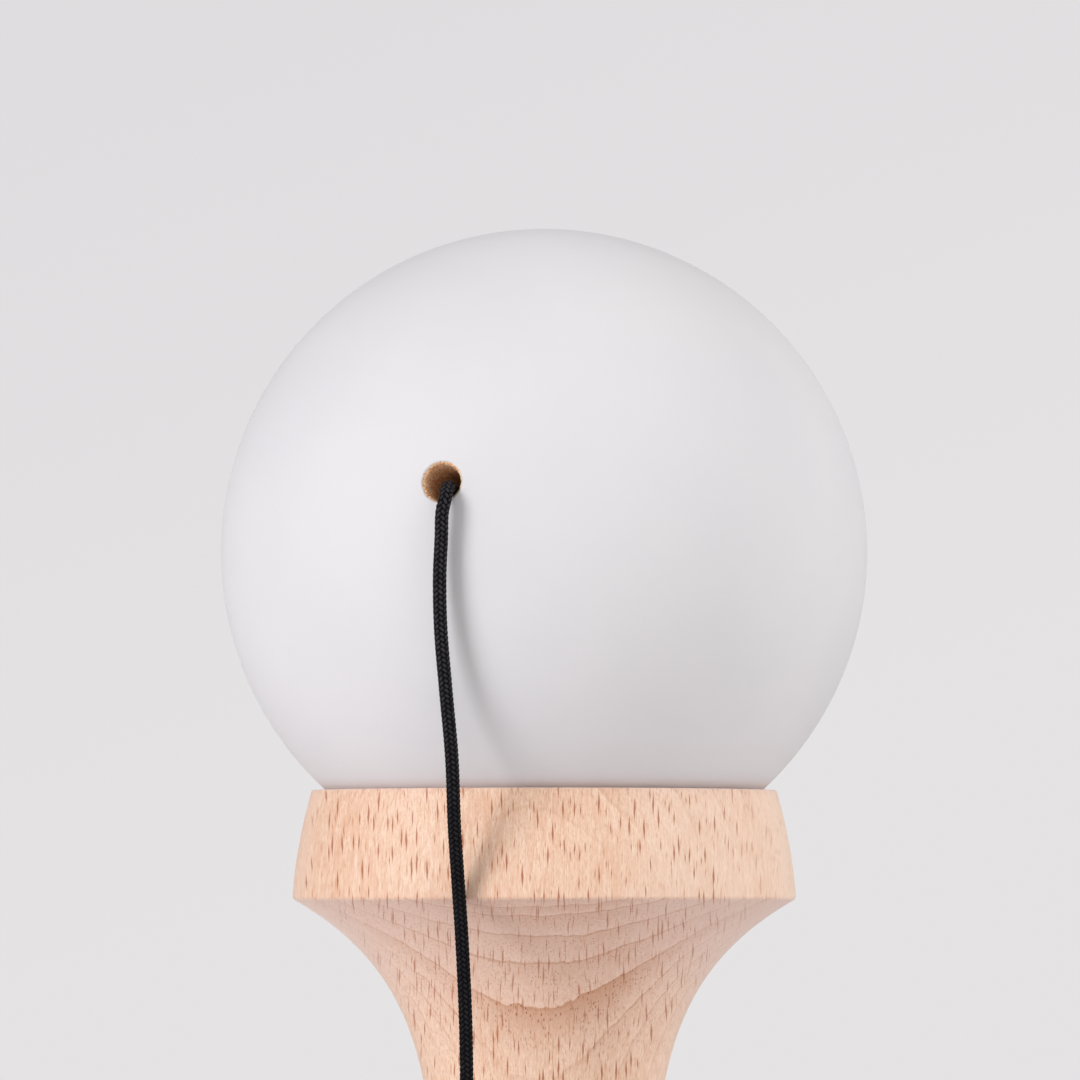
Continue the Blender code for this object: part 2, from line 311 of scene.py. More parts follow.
class Bench:
    """Lays out the nodes of one material or world."""

    CELL_RANDOMNESS = 0.85
    HALO_REACH = 0.12
    HALO_RISE = 3.0
    LEAST_NEEDLE = 0.03

    def __init__(self, owner: ID) -> None:
        """Start on a node tree.

        Args:
            owner: Material or world that is laid out.
        """
        owner.use_nodes = True
        self.owner = owner
        self.tree = owner.node_tree

    def feed(self, socket: NodeSocket, value: object) -> None:
        """Link a socket to another one, or set its own value.

        Args:
            socket: Input that is fed.
            value: The other socket, or a plain value.
        """
        if isinstance(value, NodeSocket):
            self.tree.links.new(value, socket)
        else:
            socket.default_value = value

    def node(self, kind: str, inputs: dict | None = None, **settings: object) -> Node:
        """Add a node.

        Args:
            kind: Its type, without the prefix.
            inputs: Sockets and values for its inputs, by name or number.
            settings: Its properties.

        Returns:
            The node.
        """
        made = self.tree.nodes.new("ShaderNode" + kind)
        for key, value in settings.items():
            setattr(made, key, value)
        for key, value in (inputs or {}).items():
            self.feed(made.inputs[key], value)
        return made

    def math(self, operation: str, *values: object, clamp: bool = False) -> NodeSocket:
        """Return the result of a Math node on sockets and numbers, kept from 0 to 1 by clamp."""
        return self.node("Math", dict(enumerate(values)), operation=operation, use_clamp=clamp).outputs[0]

    def times(self, first: object, *others: object) -> NodeSocket:
        """Multiply sockets and numbers.

        Args:
            first: First factor.
            others: Further factors.

        Returns:
            The product's socket.
        """
        for other in others:
            first = self.math("MULTIPLY", first, other)
        return first

    def scaled(self, value: object, factor: object, offset: object) -> NodeSocket:
        """Return a value times a factor plus an offset."""
        return self.math("ADD", self.math("MULTIPLY", value, factor), offset)

    def vector(self, operation: str, *values: object) -> Node:
        """Return a Vector Math node on sockets and vectors."""
        return self.node("VectorMath", dict(enumerate(values)), operation=operation)

    def split(self, vector: NodeSocket) -> tuple[NodeSocket, NodeSocket, NodeSocket]:
        """Return a vector's X, Y and Z."""
        return tuple(self.node("SeparateXYZ", {0: vector}).outputs)

    def spots(
        self, scale: Sequence[float], move: Sequence[float] = ZERO, turn: Sequence[float] = ZERO
    ) -> NodeSocket:
        """Scale, turn and move Object coordinates by a Mapping node.

        Args:
            scale: Scale along each axis.
            move: Shift after that.
            turn: Turns about X, Y and Z.

        Returns:
            The coordinates' socket.
        """
        here = self.node("TexCoord").outputs["Object"]
        inputs = {"Vector": here, "Rotation": turn, "Location": move, "Scale": scale}
        return self.node("Mapping", inputs).outputs[0]

    def stretched(self, where: NodeSocket, scale: Sequence[float], move: Sequence[float]) -> NodeSocket:
        """Return coordinates scaled along each axis and moved."""
        return self.vector("MULTIPLY_ADD", where, scale, move).outputs[0]

    def noise(self, where: NodeSocket, scale: float, detail: float = 2.0) -> NodeSocket:
        """Return a Noise texture's value at coordinates."""
        return self.node("TexNoise", {"Vector": where, "Scale": scale, "Detail": detail}).outputs["Fac"]

    def streaks(
        self, where: NodeSocket, scale: Sequence[float], move: Sequence[float] = ZERO, detail: float = 2.0
    ) -> NodeSocket:
        """Return noise at coordinates that are scaled along each axis and moved."""
        return self.noise(self.stretched(where, scale, move), 1.0, detail)

    def cells(
        self, where: NodeSocket, scale: Sequence[float], move: Sequence[float] = ZERO, **settings: object
    ) -> tuple[NodeSocket, NodeSocket]:
        """Return a Voronoi texture's distance and a random value of its cell.

        Args:
            where: Coordinates.
            scale: Cells along each axis.
            move: Shift of the pattern, in cells.
            settings: Properties of the texture.

        Returns:
            The sockets of the two.
        """
        place_in = self.stretched(where, scale, move)
        inputs = {"Vector": place_in, "Scale": 1.0, "Randomness": self.CELL_RANDOMNESS}
        made = self.node("TexVoronoi", inputs, **settings)
        split = self.node("SeparateColor", {0: made.outputs["Color"]})
        return made.outputs["Distance"], split.outputs[0]

    def needles(
        self, where: NodeSocket, scale: Sequence[float], move: Sequence[float],
        size: float, rarity: float, sharpness: float,
    ) -> tuple[NodeSocket, NodeSocket]:
        """Scatter pointed needles over a plane, one at most in each cell.

        Args:
            where: Coordinates on the plane.
            scale: Cells of the pattern along X and Y.
            move: Shift of the pattern, in cells.
            size: Half size of the largest needle, in cells.
            rarity: How much smaller the least one is, past which a cell stays empty.
            sharpness: How fast a needle darkens from its edge.

        Returns:
            The needles' strength from 0 to 1, and that of a soft halo round them.
        """
        distance, chance = self.cells(
            where, (*scale, 0.0), (*move, 0.0), voronoi_dimensions="2D", distance="MANHATTAN"
        )
        reach = self.math("SUBTRACT", size, self.times(chance, rarity))
        inside = self.math("SUBTRACT", reach, distance)
        near = self.math("ADD", inside, self.HALO_REACH)
        halo = self.math("MULTIPLY", near, self.HALO_RISE, clamp=True)
        seen = self.math("GREATER_THAN", reach, self.LEAST_NEEDLE)
        return self.math("MULTIPLY", inside, sharpness, clamp=True), self.times(halo, seen)

    def band(
        self, value: object, low: float, high: float, to_low: float = 0.0, to_high: float = 1.0
    ) -> NodeSocket:
        """Return a smooth step of a value between two limits.

        Args:
            value: Socket that is mapped.
            low: Value where the step starts.
            high: Value where it ends.
            to_low: Result at the start.
            to_high: Result at the end.

        Returns:
            The step's socket.
        """
        inputs = {"Value": value, "From Min": low, "From Max": high, "To Min": to_low, "To Max": to_high}
        return self.node("MapRange", inputs, interpolation_type="SMOOTHSTEP").outputs[0]

    def mix(self, share: object, first: object, second: object) -> NodeSocket:
        """Return a mix of two colours, all of the second where share is 1."""
        return self.node("Mix", {0: share, 6: first, 7: second}, data_type="RGBA").outputs[2]

    def facing(self, axis: Vector) -> NodeSocket:
        """Return how squarely the surface faces along an axis, either way, from 0 to 1."""
        normal = self.node("TexCoord").outputs["Normal"]
        return self.math("ABSOLUTE", self.vector("DOT_PRODUCT", normal, axis).outputs["Value"])

    def steps(self, value: NodeSocket, marks: Sequence[float], spacing: float) -> NodeSocket:
        """Count marks along a value, with a share of a step between them.

        Args:
            value: Socket that is counted along.
            marks: Places of the marks, rising.
            spacing: Distance between further marks below the first.

        Returns:
            The count's socket.
        """
        top = marks[-1]
        places = list(marks)
        while places[0] > -top:
            places.insert(0, places[0] - spacing)
        low, count = places[0], len(places) - 1
        made = self.node("FloatCurve")
        points = made.mapping.curves[0].points
        for i, mark in enumerate(places):
            spot = ((mark - low) / (top - low), i / count)
            point = points[0] if i == 0 else points[-1] if i == count else points.new(*spot)
            point.location = spot
        for point in points:
            point.handle_type = "VECTOR"
        made.mapping.update()
        self.feed(made.inputs["Value"], self.math("DIVIDE", self.math("SUBTRACT", value, low), top - low))
        return self.times(made.outputs[0], float(count))

    def bump(self, height: NodeSocket, distance: float) -> NodeSocket:
        """Return the normals of a relief of a height from 0 to 1 over a distance in metres."""
        return self.node("Bump", {"Height": height, "Distance": distance}).outputs["Normal"]

    @property
    def shader(self) -> Node:
        """The material's Principled shader."""
        return self.tree.nodes["Principled BSDF"]

    def coat(self, values: dict[str, object]) -> Material:
        """Feed the Principled shader.

        Args:
            values: Sockets and values for its inputs, by name.

        Returns:
            The finished material.
        """
        for key, value in values.items():
            self.feed(self.shader.inputs[key], value)
        return self.owner


@dataclass(frozen=True)
class BeechFinish:
    """Sanded beech: growth rings, ray flecks and fine pores that run with the grain."""

    name: str
    grain: Grain
    ring_turn_deg: float
    light: Colour = (0.930, 0.690, 0.535, 1.0)
    tan: Colour = (0.800, 0.485, 0.320, 1.0)
    late: Colour = (0.570, 0.275, 0.150, 1.0)
    # Greyer pink on faces across the grain: end-grain tone, and partly painted shade, as on the flare under
    # the ken's base cup.
    end: Colour = (0.790, 0.600, 0.550, 1.0)
    # Paler tone towards the picture's right: painted light, for the brighter right side of the band.
    pale: Colour = (0.930, 0.725, 0.600, 1.0)
    glow: Colour = (0.800, 0.400, 0.190, 1.0)
    fleck: Colour = (0.400, 0.105, 0.032, 1.0)
    speck: Colour = (0.600, 0.205, 0.062, 1.0)
    pith_side_mm: float = 2.3
    pith_depth_mm: float = 70.0
    ring_marks_mm: tuple[float, ...] = (
        -2.3, -0.4, 2.2, 3.7, 6.3, 8.0, 9.5, 11.2, 13.55, 16.15, 18.55, 21.05, 22.2, 24.3, 26.3,
    )
    ring_spacing_mm: float = 1.75
    wander_mm: float = 1.3
    ripple_mm: float = 0.5
    lean_mm: float = 0.9
    shuffle_mm: float = 7.0
    edge_rise: float = 6.0
    roughness: float = 0.49
    streak_roughness: float = 0.16
    sheen: float = 0.25
    sheen_roughness: float = 0.4
    relief: float = 0.00002
    ior: float = 1.45
    sloped: float = 0.75

    def make(self) -> Material:
        """Lay out the finish's nodes.

        Returns:
            The material.
        """
        bench = Bench(bpy.data.materials.new(self.name))
        band, times = bench.band, bench.times
        angle = math.radians(self.ring_turn_deg)
        turn = Euler((0.0, 0.0, -angle) if self.grain is Grain.UPRIGHT else (0.0, -math.pi / 2, angle))
        where = bench.spots(PER_MM, turn=turn)
        side, depth, height = bench.split(where)
        back = turn.to_matrix().transposed()
        quarter, facing, slant = (bench.facing(back @ Vector(axis)) for axis in np.eye(3))

        wander = bench.streaks(where, (0.16, 0.16, 0.05), (3.1, 7.7, 1.3), 3.0)
        ripple = bench.streaks(where, (0.8, 0.8, 0.15), (6.0, 1.0, 4.0))
        streak = bench.streaks(where, (2.6, 1.2, 0.20), detail=3.0)
        broad = bench.streaks(where, (0.11, 0.11, 0.022), (5.0, 2.0, 9.0))
        fine = bench.streaks(where, (8.0, 4.0, 0.60), (2.0, 4.0, 6.0))
        fibre = bench.streaks(where, (15.0, 15.0, 1.5), (8.0, 3.0, 1.0), 1.0)
        shuffle = bench.streaks(where, (0.75, 0.0, 0.0), (4.0, 0.0, 0.0), 1.0)
        wander, ripple = (bench.math("SUBTRACT", value, 0.5) for value in (wander, ripple))

        # Growth rings round a pith behind the piece, seen where the cut slopes across them
        away = bench.math("SUBTRACT", self.pith_depth_mm, depth)
        aside = bench.math("SUBTRACT", side, self.pith_side_mm)
        squares = (bench.math("POWER", distance, 2.0) for distance in (away, aside))
        radius = bench.math("SQRT", bench.math("ADD", *squares))
        waver = bench.scaled(ripple, self.ripple_mm, times(wander, self.wander_mm))
        from_pith = bench.math("ADD", bench.math("SUBTRACT", radius, self.pith_depth_mm), waver)
        share = bench.math("FRACT", bench.steps(from_pith, self.ring_marks_mm, self.ring_spacing_mm))
        fall = band(share, 0.96, 1.0, 1.0, 0.0)
        seen = times(fall, band(slant, 0.12, 0.50, 0.15, 1.0), band(facing, 0.15, 0.60, 0.35, 1.0))
        dark_ring = times(
            band(from_pith, 10.9, 11.5, 0.4, 1.0), band(from_pith, 13.6, 14.2, 1.0, 0.4),
            band(bench.math("ABSOLUTE", aside), 3.0, 9.0, 1.0, 0.40),
        )
        early_to_late = times(band(share, -0.10, 0.94), seen, dark_ring)
        late_line = times(band(share, 0.88, 0.95), seen)

        # Ends of the rays: needles on the flat-sawn faces, flakes on the quarter-sawn ones
        lean = bench.scaled(wander, self.lean_mm, side)
        row = bench.scaled(shuffle, self.shuffle_mm, height)
        face = bench.node("CombineXYZ", {0: lean, 1: row}).outputs[0]
        flat_sawn = times(
            band(facing, 0.12, 0.38, 0.06, 1.0), band(slant, 0.86, 0.98, 1.0, 0.10),
            band(side, 14.0, 21.0, 1.0, 0.35),
        )
        bold = times(flat_sawn, band(slant, 0.20, 0.55, 1.0, self.sloped))
        flecks, halo = bench.needles(face, (2.2, 0.205), (0.4, 0.2), 0.28, 0.23, 11.0)
        small, _ = bench.needles(face, (2.6, 0.30), (7.3, 3.1), 0.27, 0.28, 8.0)
        flecks, halo, small = (times(value, bold) for value in (flecks, halo, small))
        rays, _ = bench.needles(face, (2.8, 0.15), (2.0, 6.0), 0.25, 0.22, 9.0)
        rays = times(rays, band(slant, 0.15, 0.50, 0.0, self.sloped), flat_sawn)
        distance, chance = bench.cells(where, (0.20, 0.36, 0.95), (1.0, 3.0, 8.0))
        flakes = bench.math("SUBTRACT", band(chance, 0.0, 1.0, 0.42, 0.10), distance)
        flakes = bench.math("MULTIPLY", flakes, self.edge_rise, clamp=True)
        flakes = times(flakes, band(quarter, 0.60, 0.95))

        # Pores, denser in the late wood
        distance, chance = bench.cells(where, (4.4, 4.4, 0.35), (1.0, 5.0, 2.0))
        pores = bench.math("MULTIPLY", bench.math("SUBTRACT", 0.36, distance), self.edge_rise, clamp=True)
        pores = times(pores, band(chance, 0.10, 0.70), bench.scaled(early_to_late, 0.8, 0.28))

        colour = bench.mix(band(broad, 0.30, 0.72), self.light, self.tan)
        colour = bench.mix(times(band(streak, 0.36, 0.62), 0.80), self.light, colour)
        for cover, amount, over in (
            (band(fine, 0.40, 0.66), 0.65, self.tan),
            (band(fibre, 0.42, 0.68), 0.28, self.late),
            # Painted light: paler towards the picture's right.
            (band(side, 2.0, 18.0), 0.40, self.pale),
            # End-grain tone, partly painted shade: greyer pink where the surface faces along the grain.
            (band(slant, 0.20, 0.85), 0.52, self.end),
            (early_to_late, 0.70, self.late),
            (late_line, 0.45, self.late),
            (flakes, 0.16, self.late),
            (pores, band(slant, 0.1, 0.4, 0.3, 1.0), self.fleck),
            (rays, 0.80, self.fleck),
            (halo, 0.22, self.glow),
            (small, 0.50, self.speck),
            (flecks, 0.82, self.fleck),
        ):
            colour = bench.mix(times(cover, amount), colour, over)

        hollow = bench.scaled(flecks, 0.3, times(fine, 0.5))
        return bench.coat({
            "Base Color": colour,
            "Roughness": bench.scaled(streak, self.streak_roughness, self.roughness),
            "Normal": bench.bump(bench.math("SUBTRACT", 1.0, hollow), self.relief),
            "IOR": self.ior,
            "Sheen Weight": self.sheen,
            "Sheen Roughness": self.sheen_roughness,
        })


@dataclass(frozen=True)
class PaintFinish:
    """Satin paint on a turned ball, worn back to raw beech at the lips of its holes."""

    name: str
    centre: Place
    edge_mm: float
    paint: Colour = (0.755, 0.740, 0.754, 1.0)
    cool: Colour = (0.736, 0.726, 0.744, 1.0)
    # Bare beech colours, set brighter than real beech: partly painted light for the shaded inside of the
    # string hole.
    raw: Colour = (1.000, 0.770, 0.510, 1.0)
    raw_dark: Colour = (0.880, 0.370, 0.145, 1.0)
    ragged_mm: float = 0.22
    edge_width_mm: float = 0.04
    relief: float = 0.00005
    ior: float = 1.40

    def make(self) -> Material:
        """Lay out the finish's nodes.

        Returns:
            The material.
        """
        bench = Bench(bpy.data.materials.new(self.name))
        where = bench.spots(PER_MM, [-c / MILLIMETRE for c in self.centre])
        from_centre = bench.vector("LENGTH", where).outputs["Value"]
        reach = bench.scaled(bench.noise(where, 4.0, 3.0), self.ragged_mm, from_centre)
        painted = bench.band(reach, self.edge_mm, self.edge_mm + self.edge_width_mm)

        distance, chance = bench.cells(where, (0.55,) * 3)
        specks = bench.times(
            bench.math("LESS_THAN", distance, 0.035), bench.math("LESS_THAN", chance, 0.06), 0.35
        )
        paint = bench.mix(bench.band(bench.noise(where, 0.07), 0.35, 0.65), self.paint, self.cool)
        paint = bench.mix(specks, paint, self.raw)
        grain = bench.streaks(where, (6.5, 4.2, 6.5), detail=4.0)
        # Bare wood in the holes, its colours raised as partly painted light.
        wood = bench.mix(bench.band(grain, 0.43, 0.60), self.raw, self.raw_dark)

        soft, peel = (bench.noise(where, scale, 1.0) for scale in (0.35, 1.6))
        bare = bench.band(painted, 0.0, 1.0, 1.6, 0.0)
        height = bench.scaled(painted, 0.6, bench.times(peel, 0.15))
        return bench.coat({
            "Base Color": bench.mix(painted, wood, paint),
            "Roughness": bench.scaled(soft, 0.08, bench.scaled(painted, -0.20, 0.80)),
            "Normal": bench.bump(bench.scaled(grain, bare, height), self.relief),
            "IOR": self.ior,
        })


@dataclass(frozen=True)
class BraidFinish:
    """Black spun yarn with fine filaments along each strand and a painted glint on the strands' crowns,
    painted stronger near the ball.
    """

    name: str
    dark: Colour = (0.0035, 0.0030, 0.0038, 1.0)
    # Grey of the painted glint on the strands' crowns.
    grey: Colour = (0.058, 0.055, 0.062, 1.0)
    # Stretch along the string over which the painted glint fades, and the share of it kept beyond.
    painted_glint_fade: tuple[float, float] = (120.0, 190.0)
    painted_glint_far_share: float = 0.42
    patches_per_m: float = 1400.0
    relief: float = 0.00003

    def make(self) -> Material:
        """Lay out the finish's nodes.

        Returns:
            The material.
        """
        bench = Bench(bpy.data.materials.new(self.name))
        strands, floats = (bench.node("UVMap", uv_map=name).outputs[0] for name in ("strands", "floats"))
        passed = bench.split(strands)[0]
        over, crest, _ = bench.split(floats)
        # Painted glint: grey on the crown of each strand where it floats on top, fading away from the ball;
        # the same mask raises the specular level.
        glint_on_crown = bench.times(
            bench.band(over, 0.56, 1.0), bench.band(crest, 0.2, 1.0),
            bench.band(passed, *self.painted_glint_fade, 1.0, self.painted_glint_far_share),
        )
        filaments = bench.streaks(strands, (0.9, 14.0, 1.0))
        patches = bench.noise(bench.spots((self.patches_per_m,) * 3), 1.0)
        # Share of the painted glint, broken up by filaments and patches.
        share = bench.times(
            bench.band(filaments, 0.30, 0.70, 0.35, 1.0), bench.band(patches, 0.25, 0.7, 0.4, 1.0), glint_on_crown
        )
        return bench.coat({
            "Base Color": bench.mix(share, self.dark, self.grey),
            "Roughness": bench.scaled(filaments, 0.3, 0.45),
            "Specular IOR Level": bench.scaled(glint_on_crown, 0.14, 0.03),
            "Normal": bench.bump(filaments, self.relief),
        })


@dataclass(frozen=True)
class BeadFinish:
    """Plain turned bead of pale wood, with fine pores along its grain."""

    name: str
    pale: Colour = (0.700, 0.470, 0.300, 1.0)
    dark: Colour = (0.480, 0.280, 0.160, 1.0)
    relief: float = 0.00002

    def make(self) -> Material:
        """Lay out the finish's nodes.

        Returns:
            The material.
        """
        bench = Bench(bpy.data.materials.new(self.name))
        where = bench.spots(PER_MM)
        grain = bench.streaks(where, (2.6, 0.5, 2.6), detail=3.0)
        pores = bench.streaks(where, (11.0, 1.2, 11.0), (1.0, 2.0, 3.0), 1.0)
        colour = bench.mix(bench.band(grain, 0.3, 0.7), self.pale, self.dark)
        return bench.coat({
            "Base Color": bench.mix(bench.times(bench.band(pores, 0.58, 0.7), 0.4), colour, self.dark),
            "Roughness": bench.scaled(grain, 0.2, 0.4),
            "Normal": bench.bump(pores, self.relief),
        })


# Turned pieces


@dataclass(frozen=True)
class Cup:
    """A turned cup: flat rim, crowned band below it and a round bowl inside."""

    rim_radius: float
    edge_radius: float
    band_height: float
    bowl_radius: float
    bowl_depth: float
    crown: float = 0.00028
    bowl_points: int = 34
    band_points: int = 14

    def outline(self, rim_height: float) -> Outline:
        """Return the outline from the bowl's middle over the rim to the band's lower edge.

        Args:
            rim_height: Height of the rim's flat.

        Returns:
            Points of radius and height.
        """
        sphere = (self.bowl_radius ** 2 + self.bowl_depth ** 2) / (2 * self.bowl_depth)
        bottom = rim_height - self.bowl_depth
        points = []
        for angle in spread_along(0.0, math.asin(self.bowl_radius / sphere), self.bowl_points):
            points.append((sphere * math.sin(angle), bottom + sphere * (1 - math.cos(angle))))
        for t in spread_along(0.0, 1.0, self.band_points):
            radius = between(self.rim_radius, self.edge_radius, t) + 4 * self.crown * t * (1 - t)
            points.append((radius, rim_height - self.band_height * t))
        return points


@dataclass
class Ken:
    """The handle: base cup on top, flared neck, grip, shoulder, tenon and spike."""

    cup: Cup = Cup(0.02155, 0.02335, 0.01005, 0.02036, 0.0110)
    rim_z: float = 0.136
    tip_z: float = -0.027
    flare: float = 0.0078
    waist_radius: float = 0.0096
    swell: float = 0.0012
    swell_start: float = 0.036
    shoulder_radius: float = 0.0090
    tenon_radius: float = 0.0066
    spike_radius: float = 0.0062
    spike_curve: float = 1.3
    tip_radius: float = 0.0041
    nose_length: float = 0.0055
    string_hole_radius: float = 0.0012
    neck_points: int = 90
    neck_crowding: float = 1.5
    tenon_points: int = 8
    spike_points: int = 40
    nose_points: int = 18
    hole_facets: int = 32
    facets: int = 160
    edge: float = 0.00018
    band_ease: float = 0.0003

    def handle_radius(self, below_rim: float, shoulder_z: float) -> float:
        """Return the radius between the base cup's edge and the shoulder.

        Args:
            below_rim: Distance below the rim.
            shoulder_z: Height of the shoulder.

        Returns:
            The radius in metres.
        """
        fade = math.exp((self.cup.band_height - below_rim) / self.flare)
        along = (below_rim - self.swell_start) / (self.rim_z - shoulder_z - self.swell_start)
        along = min(max(along, 0.0), 1.0)
        taper = (self.shoulder_radius - self.waist_radius) * along * along * (3 - 2 * along)
        swell = self.swell * math.sin(math.pi * along) ** 2
        return self.waist_radius + (self.cup.edge_radius - self.waist_radius) * fade + taper + swell

    def outline(self, shoulder_z: float, spike_z: float) -> Outline:
        """Return the outline from the bowl's middle down to the tip of the spike.

        Args:
            shoulder_z: Height of the shoulder that sits on the crosspiece.
            spike_z: Height where the spike leaves the crosspiece.

        Returns:
            Points of radius and height.
        """
        points = self.cup.outline(self.rim_z)
        corner = len(points) - 1
        length = self.rim_z - shoulder_z - self.cup.band_height
        for t in spread_along(0.0, 1.0, self.neck_points)[1:]:
            below_rim = self.cup.band_height + length * t ** self.neck_crowding
            points.append((self.handle_radius(below_rim, shoulder_z), self.rim_z - below_rim))
        points = eased(points, corner, self.band_ease)
        for t in spread_along(0.0, 1.0, self.tenon_points):
            radius = between(self.tenon_radius, self.spike_radius, t)
            points.append((radius, between(shoulder_z, spike_z, t)))
        nose_z = self.tip_z + self.nose_length
        for t in spread_along(0.0, 1.0, self.spike_points)[1:]:
            radius = between(self.spike_radius, self.tip_radius, t ** self.spike_curve)
            points.append((radius, between(spike_z, nose_z, t)))
        for angle in spread_along(0.0, math.pi / 2, self.nose_points)[1:]:
            points.append((self.tip_radius * math.cos(angle), nose_z - self.nose_length * math.sin(angle)))
        return points

    def build(self, shoulder_z: float, spike_z: float, hole_z: float) -> Object:
        """Turn the ken and drill its string hole.

        Args:
            shoulder_z: Height of the shoulder.
            spike_z: Height where the spike leaves the crosspiece.
            hole_z: Height of the string hole, which runs along Y.

        Returns:
            The finished piece.
        """
        obj = turned("ken_turned", self.outline(shoulder_z, spike_z), self.facets)
        soften_edges(obj, self.edge)
        reach = 2 * self.shoulder_radius
        drill = mirrored([(0.0, reach), (self.string_hole_radius, reach)])
        bore(obj, drill, self.hole_facets, (0.0, 0.0, hole_z), Z_TO_Y)
        shade(obj)
        dress(obj, BeechFinish("ken_beech", Grain.UPRIGHT, 18.2).make(), "beech", Body.KEN, "ken")
        return obj


@dataclass
class Crosspiece:
    """The sarado: a big cup at +X and a small cup at -X on one turned waist."""

    big: Cup = Cup(0.02300, 0.02480, 0.01050, 0.02210, 0.0125)
    small: Cup = Cup(0.02040, 0.02215, 0.00930, 0.01950, 0.0102)
    centre_z: float = 0.038
    big_reach: float = 0.0355
    small_reach: float = 0.0335
    waist_radius: float = 0.0116
    flare: float = 0.0070
    string_hole_radius: float = 0.0020
    hole_chamfer: float = 0.0004
    gap: float = 0.0003
    fit: float = 0.00008
    waist_points: int = 64
    seat_facets: int = 96
    hole_facets: int = 48
    facets: int = 160
    edge: float = 0.00018
    band_ease: float = 0.0003

    def radius(self, x: float) -> float:
        """Find the outer radius between the two bands.

        Args:
            x: Distance from the ken's axis, towards the big cup.

        Returns:
            The radius in metres.
        """
        from_big = self.big_reach - self.big.band_height - x
        from_small = self.small_reach - self.small.band_height + x
        big = (self.big.edge_radius - self.waist_radius) * math.exp(-from_big / self.flare)
        small = (self.small.edge_radius - self.waist_radius) * math.exp(-from_small / self.flare)
        return self.waist_radius + big + small

    def shoulder_z(self, ken: Ken) -> float:
        """Return the height of the ken's shoulder on this crosspiece."""
        seat = math.sqrt(self.radius(0.0) ** 2 - (ken.shoulder_radius + self.gap) ** 2)
        return self.centre_z + seat + self.gap

    def spike_z(self) -> float:
        """Return the height where the spike leaves the crosspiece."""
        return self.centre_z - self.radius(0.0)

    def outline(self) -> Outline:
        """Draw the outline along the crosspiece's own axis, big cup first.

        Returns:
            Points of radius and height.
        """
        big = self.big.outline(self.big_reach)
        small = [(radius, -height) for radius, height in reversed(self.small.outline(self.small_reach))]
        start, end = big[-1][1], small[0][1]
        middle = []
        for angle in spread_along(0.0, math.pi, self.waist_points)[1:-1]:
            x = (start + end) / 2 + (start - end) / 2 * math.cos(angle)
            middle.append((self.radius(x), x))
        points = eased(big + middle + small, len(big) + len(middle), self.band_ease)
        return eased(points, len(big) - 1, self.band_ease)

    def build(self, ken: Ken) -> Object:
        """Turn the crosspiece, bore the ken's seat and drill the string hole.

        Args:
            ken: The ken that sits in it.

        Returns:
            The finished piece.
        """
        obj = turned("crosspiece_turned", self.outline(), self.facets)
        soften_edges(obj, self.edge)
        middle = (0.0, 0.0, self.centre_z)
        place(obj, middle, Z_TO_X)

        shoulder, spike = self.shoulder_z(ken), self.spike_z()
        top, bottom = shoulder + ken.shoulder_radius, spike - ken.shoulder_radius
        wide, snug = ken.shoulder_radius + self.gap, ken.spike_radius + self.fit
        slope = (ken.tenon_radius - ken.spike_radius) / (shoulder - spike)
        ledge = shoulder - self.fit
        seat = [
            (0.0, top), (wide, top), (wide, ledge), (ken.tenon_radius + self.fit, ledge),
            (snug, spike), (snug - slope * (spike - bottom), bottom), (0.0, bottom),
        ]
        bore(obj, seat, self.seat_facets)

        mouth = self.radius(0.0)
        far, wide = 2 * mouth, self.string_hole_radius + self.hole_chamfer
        drill = mirrored([
            (0.0, far), (wide + far - mouth, far), (wide, mouth),
            (self.string_hole_radius, mouth - self.hole_chamfer),
        ])
        bore(obj, drill, self.hole_facets, middle, Z_TO_Y)
        shade(obj)
        finish = BeechFinish("crosspiece_beech", Grain.ACROSS, 25.0, sloped=0.25)
        dress(obj, finish.make(), "beech", Body.KEN, "sarado")
        return obj


